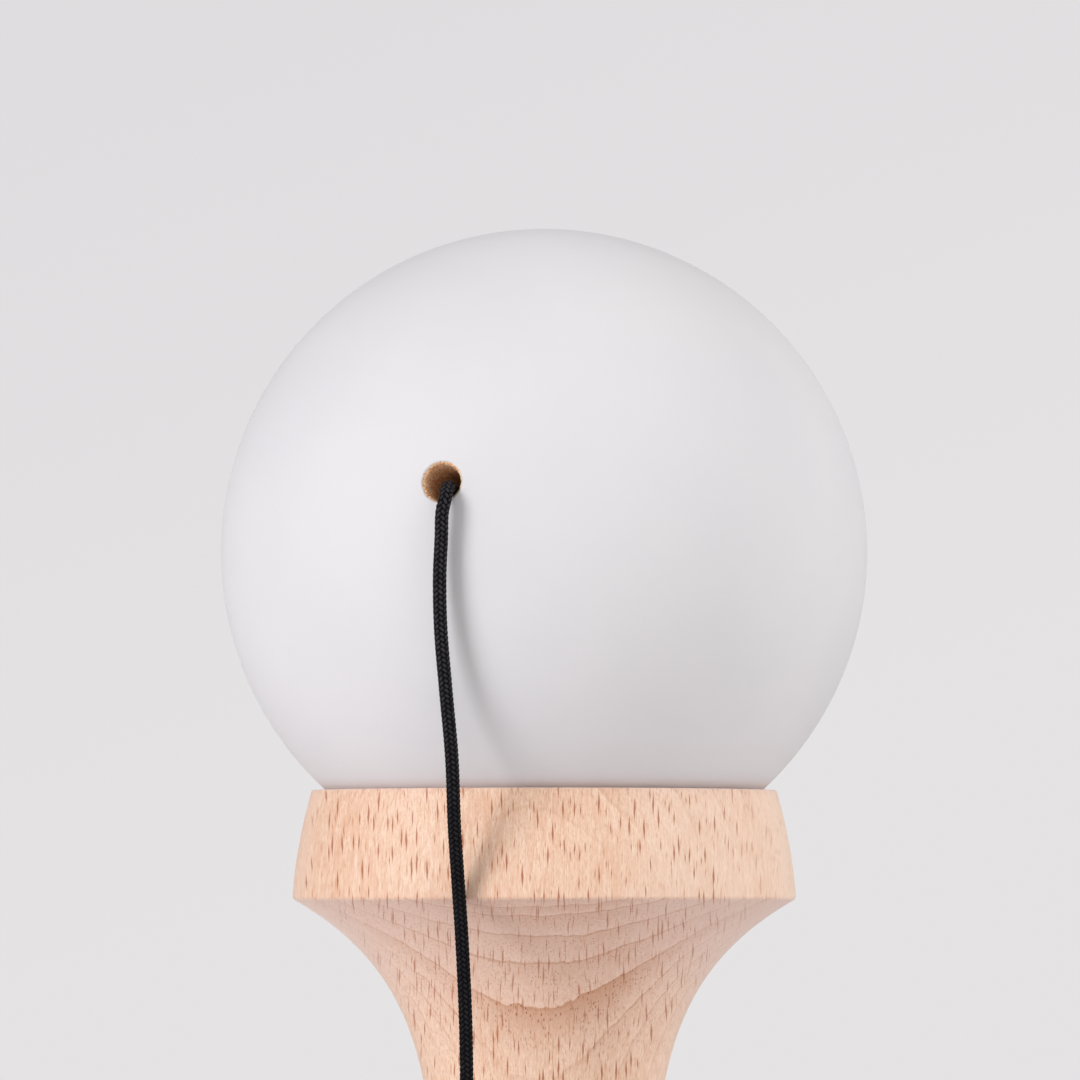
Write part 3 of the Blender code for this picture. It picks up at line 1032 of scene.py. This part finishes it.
@dataclass
class Ball:
    """The tama: a painted ball with a string hole in front and a spike hole behind."""

    radius: float = 0.030
    centre: Place = (0.0, 0.0, 0.158127)
    tilt: float = math.radians(10)
    string_hole_radius: float = 0.0016
    string_chamfer: float = 0.00035
    string_lip: float = 0.00028
    string_worn: float = 0.00010
    spike_hole_radius: float = 0.0085
    spike_mouth_radius: float = 0.0108
    spike_hole_depth: float = 0.040
    torn_reach: float = 0.0030
    torn_depth: float = 0.00024
    torn_middle: float = 0.38
    torn_grain: float = 0.00022
    torn_rise: float = 3
    torn_rows: int = 22
    round_points: int = 130
    facets: int = 192
    edge: float = 0.00010
    paint_back_mm: float = 0.02

    @property
    def axis(self) -> Vector:
        """Direction from the ball's centre out through its string hole."""
        return Vector((0.0, -math.cos(self.tilt), math.sin(self.tilt)))

    @property
    def turn(self) -> Place:
        """Turns that bring the Z axis to the string hole's axis."""
        return (math.pi / 2 - self.tilt, 0.0, 0.0)

    @property
    def bore_end(self) -> float:
        """Place of the spike hole's flat end along the axis."""
        return self.spike_hole_depth - self.radius

    @property
    def mouth(self) -> float:
        """Radius of the string hole at the paint."""
        return self.string_hole_radius + self.string_chamfer

    def outline(self) -> Outline:
        """Draw the closed outline round the string axis, string hole on top.

        Returns:
            Points of radius and height.
        """
        first = math.asin(self.mouth / self.radius)
        last = math.pi - math.asin(self.spike_mouth_radius / self.radius)
        points = []
        for angle in spread_along(first, last, self.round_points):
            points.append((self.radius * math.sin(angle), self.radius * math.cos(angle)))
        lip = self.spike_mouth_radius - self.spike_hole_radius
        points.append((self.spike_hole_radius, self.radius * math.cos(last) + lip))
        points.append((self.spike_hole_radius, self.bore_end))
        points.append((self.string_hole_radius, self.bore_end))
        top = self.radius * math.cos(first)
        for depth in spread_along(self.torn_reach, self.string_lip, self.torn_rows):
            worn = self.string_worn * (1 - depth / self.torn_reach) ** 2
            points.append((self.string_hole_radius + worn, top - depth))
        return points

    def tear(self, obj: Object) -> None:
        """Roughen the string hole's wall near its mouth, where the drill tore the fibres.

        Args:
            obj: The turned ball, its string axis still along Z.
        """
        wall = obj.vertex_groups.new(name="torn wall")
        for vertex in obj.data.vertices:
            reach = math.hypot(vertex.co.x, vertex.co.y)
            if vertex.co.z > self.bore_end + self.edge and reach < self.mouth:
                share = self.torn_rise * (self.mouth - reach) / self.string_chamfer
                wall.add([vertex.index], min(1.0, share), "REPLACE")
        fibres = bpy.data.textures.new("torn fibres", "CLOUDS")
        fibres.noise_scale = self.torn_grain
        modify(
            obj, "DISPLACE", texture=fibres, vertex_group=wall.name,
            mid_level=self.torn_middle, strength=-self.torn_depth,
        )

    def build(self) -> Object:
        """Turn and paint the ball.

        Returns:
            The finished piece in its place.
        """
        obj = turned("ball_painted", self.outline(), self.facets, closed=True)
        soften_edges(obj, self.edge)
        self.tear(obj)
        place(obj, self.centre, self.turn)
        shade(obj)
        finish = PaintFinish("satin_paint", self.centre, self.radius / MILLIMETRE - self.paint_back_mm)
        dress(obj, finish.make(), "pale_paint", Body.TAMA, "tama")
        return obj


@dataclass
class StringBead:
    """The bead inside the ball that stops the string in its hole."""

    radius: float = 0.0040
    length: float = 0.0060
    bore_radius: float = 0.0011
    rounding: float = 0.0012
    gap: float = 0.0003
    rounding_points: int = 8
    facets: int = 48
    edge: float = 0.00015
    edge_segments: int = 2
    edge_angle_deg: float = 35

    def outline(self, top: float) -> Outline:
        """Draw the closed outline round the string axis, top down.

        Args:
            top: Height of the upper end.

        Returns:
            Points of radius and height.
        """
        points = []
        for end in (1, -1):
            middle = top - self.length / 2 + end * (self.length / 2 - self.rounding)
            for t in spread_along(0.0, 1.0, self.rounding_points):
                angle = math.pi / 2 * (t if end < 0 else 1 - t)
                radius = self.radius - self.rounding * (1 - math.cos(angle))
                points.append((radius, middle + end * self.rounding * math.sin(angle)))
        points.append((self.bore_radius, top - self.length))
        points.append((self.bore_radius, top))
        return points

    def build(self, ball: Ball) -> Object:
        """Turn the bead and put it at the end of the spike hole.

        Args:
            ball: The ball that it sits in.

        Returns:
            The finished piece.
        """
        obj = turned("string_bead", self.outline(ball.bore_end - self.gap), self.facets, closed=True)
        soften_edges(obj, self.edge, self.edge_segments, self.edge_angle_deg)
        place(obj, ball.centre, ball.turn)
        shade(obj)
        dress(obj, BeadFinish("bead_wood_turned").make(), "bead_wood", Body.STRING_END, "bead")
        return obj


# String


@dataclass(frozen=True)
class Lay:
    """Stations along a string: centreline, distances along it and two side directions."""

    line: np.ndarray
    along: np.ndarray
    across: np.ndarray
    up: np.ndarray

    def part(self, keep: slice | np.ndarray) -> "Lay":
        """Return some of the stations."""
        return Lay(self.line[keep], self.along[keep], self.across[keep], self.up[keep])

    def out(self, angle: np.ndarray) -> np.ndarray:
        """Return the direction at an angle round the string at each station."""
        return np.cos(angle)[:, None] * self.across + np.sin(angle)[:, None] * self.up


@dataclass
class Braid:
    """A tubular braid of sixteen strands, eight each way, each over two and under two."""

    radius: float = 0.000625
    lead: float = 0.00376
    strands_each_way: int = 8
    strand_width: float = 0.00033
    strand_thickness: float = 0.00016
    lift: float = 0.00006
    crimp: float = 1.7
    crest: float = 0.52
    foot: float = 0.30
    core_radius: float = 0.00042
    core_sides: int = 8
    core_spacing: int = 6
    stations_per_lead: int = 22
    shade_deg: float = 80

    @property
    def step(self) -> float:
        """Distance between the stations along the string."""
        return self.lead / self.stations_per_lead

    def strand(self, lay: Lay, way: int, index: int, scale: float) -> tuple[np.ndarray, np.ndarray]:
        """Return the corner points of one strand at each station.

        Args:
            lay: Stations along the string.
            way: 1 or -1, which way the strand winds.
            index: Number of the strand among those of its way.
            scale: Size of the braid against its own.

        Returns:
            An array of stations by four corners by three coordinates, and how far the strand is on top.
        """
        turns = lay.along / self.lead
        out = lay.out(way * 2 * np.pi * turns + 2 * np.pi * index / self.strands_each_way)
        crossing = 2 * self.strands_each_way * turns
        wave = np.cos(2 * np.pi * (way * crossing + 2 * index - 0.5) / 4)
        over = way * np.tanh(self.crimp * wave) / math.tanh(self.crimp)
        distance = scale * (self.radius - self.strand_thickness / 2 - self.lift * (1 - over))
        middle = lay.line + distance[:, None] * out
        side = np.cross(np.gradient(middle, axis=0), out)
        side /= np.linalg.norm(side, axis=1)[:, None]
        half, thick = scale * self.strand_width / 2, scale * self.strand_thickness
        foot, crest, top = -self.foot * thick, self.crest * half, 0.5 * thick
        corners = ((-half, foot), (-crest, top), (crest, top), (half, foot))
        return np.stack([middle + a * side + b * out for a, b in corners], axis=1), over / 2 + 0.5

    def core(self, lay: Lay, scale: float) -> np.ndarray:
        """Find the corner points of the filling inside the strands.

        Args:
            lay: Stations along the string.
            scale: Size of the braid against its own.

        Returns:
            An array of fewer stations by corners by three coordinates.
        """
        last = len(lay.line) - 1
        kept = lay.part(np.unique(np.append(np.arange(0, last + 1, self.core_spacing), last)))
        angles = np.linspace(0, 2 * np.pi, self.core_sides, endpoint=False)
        reach = scale * self.core_radius
        return np.stack([kept.line + reach * kept.out(np.full(len(kept.line), a)) for a in angles], axis=1)

    def weave(self, name: str, lay: Lay, scale: float = 1.0) -> Object:
        """Make a stretch of braided string as a mesh.

        Args:
            name: Name of the new object.
            lay: Stations along the stretch, one step apart.
            scale: Size of the braid against its own.

        Returns:
            The stretch, each strand a closed tube.
        """
        core = self.core(lay, scale)
        tubes = [(core, np.zeros(len(core)))]
        for way in (1, -1):
            for index in range(self.strands_each_way):
                tubes.append(self.strand(lay, way, index, scale))
        points, faces, places, floats = [], [], [], []
        count = 0
        for tube, over in tubes:
            stations, sides = tube.shape[:2]
            grid = count + np.arange(stations * sides).reshape(stations, sides)
            after = np.roll(grid, -1, axis=1)
            quads = np.stack([grid[:-1], after[:-1], after[1:], grid[1:]], axis=-1).reshape(-1, 4)
            faces.extend(map(tuple, quads.tolist()))
            faces.append(tuple(reversed(grid[0].tolist())))
            faces.append(tuple(grid[-1].tolist()))
            row, column = (i.ravel() for i in np.indices((stations, sides)))
            passed = np.linspace(lay.along[0], lay.along[-1], stations) / (2 * self.step)
            places.append(np.stack([passed[row], column / sides], axis=1))
            floats.append(np.stack([over[row], np.isin(column, (1, 2)) * 1.0], axis=1))
            points.append(tube.reshape(-1, 3))
            count += stations * sides
        mesh = bpy.data.meshes.new(name)
        mesh.from_pydata(np.concatenate(points).tolist(), [], faces)
        corner = np.zeros(len(mesh.loops), np.int32)
        mesh.loops.foreach_get("vertex_index", corner)
        for layer_name, values in (("strands", places), ("floats", floats)):
            layer = mesh.uv_layers.new(name=layer_name)
            layer.data.foreach_set("uv", np.concatenate(values)[corner].astype(np.float32).ravel())
        obj = linked(name, mesh)
        activate(obj)
        with editing():
            bpy.ops.mesh.normals_make_consistent(inside=False)
        shade(obj, self.shade_deg)
        return obj


class Stretch(Enum):
    """Stretches of the string, with the route points where each starts and ends."""

    FALL = (0, 21)
    SLACK = (21, 33)
    IN_KEN = (33, 39)


@dataclass
class BallString:
    """The string from the bead through the ball's hole and the slack loop into the ken."""

    braid: Braid = field(default_factory=Braid)
    route_mm: tuple[Place, ...] = (
        (0.00, -3.64, 158.74), (0.00, -11.82, 160.18), (0.25, -18.71, 161.40), (0.50, -24.64, 162.36),
        (0.60, -27.80, 162.78), (0.70, -29.95, 162.66), (0.84, -31.02, 161.68), (0.70, -31.42, 160.40),
        (0.63, -31.40, 158.41), (0.44, -31.31, 154.60), (0.36, -30.78, 150.10), (0.39, -29.44, 144.60),
        (0.40, -27.80, 138.60), (0.10, -26.20, 132.60), (-0.05, -24.85, 128.10), (-0.05, -24.33, 125.70),
        (0.18, -24.25, 122.00), (0.56, -24.22, 113.00), (0.58, -24.20, 96.00), (0.50, -24.20, 76.00),
        (0.28, -24.20, 54.00), (0.05, -24.20, 32.00), (-0.10, -24.40, -8.00), (-0.20, -24.90, -46.00),
        (-0.20, -25.00, -70.00), (-0.10, -24.60, -80.20), (0.00, -22.80, -83.90), (0.10, -19.80, -85.00),
        (0.20, -16.80, -83.90), (0.26, -15.00, -80.20), (0.30, -14.60, -70.00), (0.20, -14.80, -46.00),
        (0.10, -15.60, -8.00), (0.00, -16.20, 32.00), (0.00, -15.95, 34.60), (0.00, -14.90, 36.90),
        (0.00, -13.00, 37.90), (0.00, -10.50, 38.00), (0.00, -3.00, 38.00), (0.00, 6.40, 38.00),
    )
    samples: int = 64
    slack_z: float = 0.032
    ball_end_z: float = 0.1584
    hole_mouth: Place = (0.0, -0.0295, 0.1633)
    slack_kept: float = 0.06
    knot_ring: float = 0.00086
    knot_tube: float = 0.00044
    knot_scale: float = 0.74
    tail_bend: float = 0.0004
    tail_lean: float = 0.0003
    bead_knot_gap: float = 0.0016
    bead_tail: float = 0.0042
    ken_knot_y: float = 0.0083
    ken_tail: float = 0.0036
    loop_points: int = 240
    tail_points: int = 40
    first_side: Place = (1.0, 0.2, 0.1)
    path_spacing: int = 6

    def smooth(self) -> np.ndarray:
        """Draw a smooth curve through the route's points.

        Returns:
            Close points along it, in metres.
        """
        points = [Vector(p) * MILLIMETRE for p in self.route_mm]
        padded = [2 * points[0] - points[1], *points, 2 * points[-1] - points[-2]]
        found = []
        for before, start, end, after in zip(padded, padded[1:], padded[2:], padded[3:]):
            knots = [0.0]
            for a, b in ((before, start), (start, end), (end, after)):
                knots.append(knots[-1] + math.sqrt((b - a).length))
            span = knots[2] - knots[1]
            middle = (end - start) / span
            leave = ((start - before) / knots[1] - (end - before) / knots[2] + middle) * span
            last = (after - end) / (knots[3] - knots[2])
            arrive = (middle - (after - start) / (knots[3] - knots[1]) + last) * span
            for i in range(self.samples):
                t = i / self.samples
                found.append(
                    (2 * t ** 3 - 3 * t ** 2 + 1) * start + (t ** 3 - 2 * t ** 2 + t) * leave
                    + (3 * t ** 2 - 2 * t ** 3) * end + (t ** 3 - t ** 2) * arrive
                )
        found.append(points[-1])
        return np.array(found)

    @staticmethod
    def lengths(points: np.ndarray) -> np.ndarray:
        """Return the distance along a curve at each of its points."""
        return np.concatenate([[0.0], np.cumsum(np.linalg.norm(np.diff(points, axis=0), axis=1))])

    def lay(self, points: np.ndarray) -> Lay:
        """Set stations one braid step apart along a curve, their sides carried on without twist.

        Args:
            points: Close points along the curve.

        Returns:
            The stations.
        """
        lengths = self.lengths(points)
        count = int(round(lengths[-1] / self.braid.step))
        along = np.linspace(0.0, lengths[-1], count + 1)
        line = np.stack([np.interp(along, lengths, points[:, i]) for i in range(3)], axis=1)
        run = np.gradient(line, axis=0)
        run /= np.linalg.norm(run, axis=1)[:, None]
        across = np.zeros_like(line)
        first = np.cross(run[0], self.first_side)
        across[0] = first / np.linalg.norm(first)
        for i in range(1, len(line)):
            carried = across[i - 1] - (across[i - 1] @ run[i]) * run[i]
            across[i] = carried / np.linalg.norm(carried)
        return Lay(line, along, across, np.cross(run, across))

    def build(self) -> dict[Stretch, tuple[Object, np.ndarray]]:
        """Weave the string's stretches, with one braid that runs on from each to the next.

        Returns:
            Each stretch's object and its centreline.
        """
        points = self.smooth()
        whole = self.lay(points)
        lengths = self.lengths(points)
        log.info("string: %.4f m between its knots", lengths[-1])
        made = {}
        for stretch in Stretch:
            first, last = (int(round(lengths[i * self.samples] / self.braid.step)) for i in stretch.value)
            part = whole.part(slice(first, last + 1))
            made[stretch] = (self.braid.weave(f"string_{stretch.name.lower()}_braid", part), part.line)
        return made

    def knot(self, name: str, centre: Vector, axis: Vector, tail: float) -> Object:
        """Tie a tight overhand knot round the string, with a short tail.

        Args:
            name: Name of the new object.
            centre: Middle of the knot.
            axis: Direction in which the tail leaves.
            tail: Length of the tail from the middle.

        Returns:
            The knot as braided string.
        """
        turns = np.linspace(0, 2 * np.pi, self.loop_points)
        width = self.knot_ring + self.knot_tube * np.cos(3 * turns)
        rise = self.knot_tube * np.sin(3 * turns)
        loop = np.stack([width * np.cos(2 * turns), width * np.sin(2 * turns), rise], axis=1)
        bend = np.linspace(0, 1, self.tail_points)
        end = np.stack([self.tail_bend * np.sin(3 * bend), self.tail_lean * bend ** 2, tail * bend], axis=1)
        turn = np.array(axis.to_track_quat("Z", "Y").to_matrix())
        pieces = []
        for label, shape in (("loop", loop), ("tail", end)):
            lay = self.lay(shape @ turn.T + np.array(centre))
            pieces.append(self.braid.weave(f"{name}_{label}", lay, self.knot_scale))
        activate(pieces[0])
        pieces[1].select_set(True)
        bpy.ops.object.join()
        knot = bpy.context.object
        knot.name = name
        knot.data.name = name
        return knot

    def tie(self, ball: Ball, bead: StringBead, crosspiece: Crosspiece) -> tuple[Object, Object]:
        """Tie the string's two ends.

        Args:
            ball: The ball, with its place and axis.
            bead: The bead that the first knot holds.
            crosspiece: The crosspiece, with its string hole's height.

        Returns:
            The knot behind the bead and the knot in the crosspiece.
        """
        behind = ball.bore_end - bead.gap - bead.length - bead.gap - self.bead_knot_gap
        at_bead = Vector(ball.centre) + behind * ball.axis
        at_ken = Vector((0.0, self.ken_knot_y, crosspiece.centre_z))
        return (
            self.knot("bead_overhand_knot", at_bead, -ball.axis, self.bead_tail),
            self.knot("ken_overhand_knot", at_ken, Vector((0.0, 1.0, 0.0)), self.ken_tail),
        )

    def dress(
        self, made: dict[Stretch, tuple[Object, np.ndarray]], knots: Sequence[Object], bead: Object
    ) -> None:
        """Colour the string and put its knots and its stretches, apart from the fall, on their bodies.

        Args:
            made: Stretches from build.
            knots: The knot at the bead and the knot in the crosspiece.
            bead: The bead's piece.
        """
        bead_knot, ken_knot = knots
        fall, fall_line = made[Stretch.FALL]
        slack, slack_line = made[Stretch.SLACK]
        in_ken, _ = made[Stretch.IN_KEN]
        start, end = (0.0, 0.0, self.slack_z), (0.0, 0.0, self.ball_end_z)
        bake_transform(fall)
        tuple(start)
        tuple(end)
        yarn = BraidFinish("black_yarn").make()
        for obj, body, *nodes in (
            (fall, None, "string_in_tama", "string_fall"),
            (slack, Body.KEN, "string_slack"),
            (in_ken, Body.KEN, "string_in_ken"),
            (bead_knot, Body.STRING_END, "bead_knot"),
            (ken_knot, Body.KEN, "ken_knot"),
        ):
            dress(obj, yarn, "black_braid", body, *nodes)
        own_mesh(slack)
        for obj, line, leaves, others in (
            (fall, fall_line, self.hole_mouth, [bead, bead_knot]),
            (slack, slack_line, slack_line[0], [in_ken, ken_knot]),
        ):
            float(self.lengths(line)[-1])
            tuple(leaves)
            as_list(others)


# Studio


@dataclass(frozen=True)
class Lamp:
    """A large round soft lamp, placed by its angles from the camera's view."""

    name: str
    left: float
    up: float
    size: float
    power: float
    colour: tuple[float, float, float]
    distance: float = 1.2


@dataclass
class Studio:
    """Camera, soft light, pale surroundings and floor."""

    azimuth: float = math.radians(18.2)
    eye: Place = (0.2495, -0.7601, 0.126)
    pitch: float = math.radians(2.38)
    lens: float = 287.27
    sensor: float = 36.0
    clip: tuple[float, float] = (0.05, 60.0)
    lit_place: Place = (0.0, 0.0, 0.14)
    lamps: tuple[Lamp, ...] = (
        Lamp("key", math.radians(54), math.radians(18), 0.54, 8.8, (0.985, 0.982, 1.0)),
        Lamp("fill", math.radians(-70), math.radians(33), 1.68, 11.6, (1.0, 0.995, 0.982)),
    )
    surround: float = 0.37
    surround_tint: Colour = (1.0, 0.990, 0.990, 1.0)
    backdrop_low: Colour = (0.783, 0.768, 0.776, 1.0)
    backdrop_high: Colour = (0.735, 0.720, 0.733, 1.0)
    backdrop_way: Place = (-0.35, 1.0, 0.0)
    backdrop_band: tuple[float, float] = (0.01, 0.12)
    floor_z: float = -0.0868
    floor_radius: float = 3.0
    floor_sides: int = 128
    floor_inset: float = 0.4
    floor_roughness: float = 0.85
    paper_scale: float = 3.0
    paper: Colour = (0.785, 0.770, 0.780, 1.0)
    paper_light: Colour = (0.815, 0.800, 0.810, 1.0)
    haze: Colour = (0.775, 0.760, 0.768, 1.0)
    haze_reach: tuple[float, float] = (0.30, 1.30)

    @staticmethod
    def aim(obj: Object, location: Sequence[float], way: Vector, axis: str) -> None:
        """Put an object in its place, with one of its axes along a direction.

        Args:
            obj: Camera or lamp.
            location: Its place in metres.
            way: The direction.
            axis: The object's own axis that takes it.
        """
        obj.location = location
        obj.rotation_mode = "QUATERNION"
        obj.rotation_quaternion = way.to_track_quat(axis, "Y")

    def camera(self) -> None:
        """Set up the camera at the photograph's angle."""
        data = bpy.data.cameras.new("camera")
        data.sensor_width = self.sensor
        data.lens = self.lens
        data.clip_start, data.clip_end = self.clip
        obj = linked("camera", data)
        level = Vector((-math.sin(self.azimuth), math.cos(self.azimuth), 0.0))
        self.aim(obj, self.eye, level * math.cos(self.pitch) + UP * math.sin(self.pitch), "-Z")
        bpy.context.scene.camera = obj

    def toward(self, right: float, up: float, front: float) -> Vector:
        """Find a direction from the kendama, as the camera sees it.

        Args:
            right: Share towards the picture's right.
            up: Share upwards.
            front: Share towards the camera.

        Returns:
            The direction, of length 1.
        """
        side = Vector((math.cos(self.azimuth), math.sin(self.azimuth), 0.0))
        near = Vector((math.sin(self.azimuth), -math.cos(self.azimuth), 0.0))
        return (right * side + up * UP + front * near).normalized()

    def hang(self, lamp: Lamp) -> None:
        """Hang a lamp so that it faces the ball.

        Args:
            lamp: The lamp.
        """
        data = bpy.data.lights.new(lamp.name, "AREA")
        data.shape = "DISK"
        data.size = lamp.size
        data.energy = lamp.power
        data.color = lamp.colour
        level = math.cos(lamp.up)
        way = self.toward(-math.sin(lamp.left) * level, math.sin(lamp.up), math.cos(lamp.left) * level)
        self.aim(linked(lamp.name, data), Vector(self.lit_place) + way * lamp.distance, way, "Z")

    def surroundings(self) -> None:
        """Fill the world with even light, behind a pale grey seen by the camera."""
        world = bpy.data.worlds.new("studio")
        bpy.context.scene.world = world
        bench = Bench(world)
        bench.tree.nodes.clear()
        light = bench.node("Background", {"Color": self.surround_tint, "Strength": self.surround})
        here = bench.node("TexCoord").outputs["Generated"]
        lean = bench.vector("DOT_PRODUCT", here, self.toward(*self.backdrop_way)).outputs["Value"]
        low, high = self.backdrop_band
        rise = bench.node("MapRange", {"Value": lean, "From Min": low, "From Max": high}).outputs[0]
        tint = bench.mix(rise, self.backdrop_low, self.backdrop_high)
        backdrop = bench.node("Background", {"Color": tint, "Strength": 1.0})
        rays = bench.node("LightPath").outputs["Is Camera Ray"]
        mix = bench.node("MixShader", {0: rays, 1: light.outputs[0], 2: backdrop.outputs[0]})
        bench.node("OutputWorld", {"Surface": mix.outputs[0]})

    def floor(self) -> None:
        """Lay a plain pale floor just below the string's loop."""
        deselect()
        bpy.ops.mesh.primitive_circle_add(
            vertices=self.floor_sides, radius=self.floor_radius, fill_type="NGON",
            location=(0.0, 0.0, self.floor_z),
        )
        obj = bpy.context.object
        obj.name = "floor"
        with editing():
            bpy.ops.mesh.inset(thickness=self.floor_inset * self.floor_radius)
        settle()
        bench = Bench(bpy.data.materials.new("floor_paper"))
        where = bench.spots((1.0, 1.0, 1.0))
        paper = bench.mix(bench.noise(where, self.paper_scale), self.paper, self.paper_light)
        bench.coat({"Base Color": paper, "Roughness": self.floor_roughness})
        away = bench.vector("LENGTH", where).outputs["Value"]
        rays = bench.node("LightPath").outputs["Is Camera Ray"]
        haze = bench.node("Emission", {"Color": self.haze})
        fade = bench.times(bench.band(away, *self.haze_reach), rays)
        both = bench.node("MixShader", {0: fade, 1: bench.shader.outputs[0], 2: haze.outputs[0]})
        bench.feed(bench.tree.get_output_node("ALL").inputs["Surface"], both.outputs[0])
        obj.data.materials.append(bench.owner)

    def build(self) -> None:
        """Set up the whole studio."""
        bpy.context.scene.view_settings.view_transform = "Standard"
        self.camera()
        for lamp in self.lamps:
            self.hang(lamp)
        self.surroundings()
        self.floor()


def main() -> None:
    """Build the kendama's pieces and the studio round them."""
    logging.basicConfig(level=logging.INFO, format="%(name)s %(message)s")
    Studio().build()

    string, ball, ken, crosspiece, bead = BallString(), Ball(), Ken(), Crosspiece(), StringBead()
    bead_obj = bead.build(ball)
    stretches = string.build()
    knots = string.tie(ball, bead, crosspiece)
    string.dress(stretches, knots, bead_obj)
    ken_obj = ken.build(crosspiece.shoulder_z(ken), crosspiece.spike_z(), crosspiece.centre_z)
    crosspiece_obj = crosspiece.build(ken)
    ball_obj = ball.build()

    cords = [obj for obj, _ in stretches.values()]
    for obj in (ken_obj, crosspiece_obj, ball_obj, bead_obj, *knots, *cords):
        log.info("%s: %d faces", obj.name, len(obj.data.polygons))
    deselect()


if __name__ == "__main__":
    main()
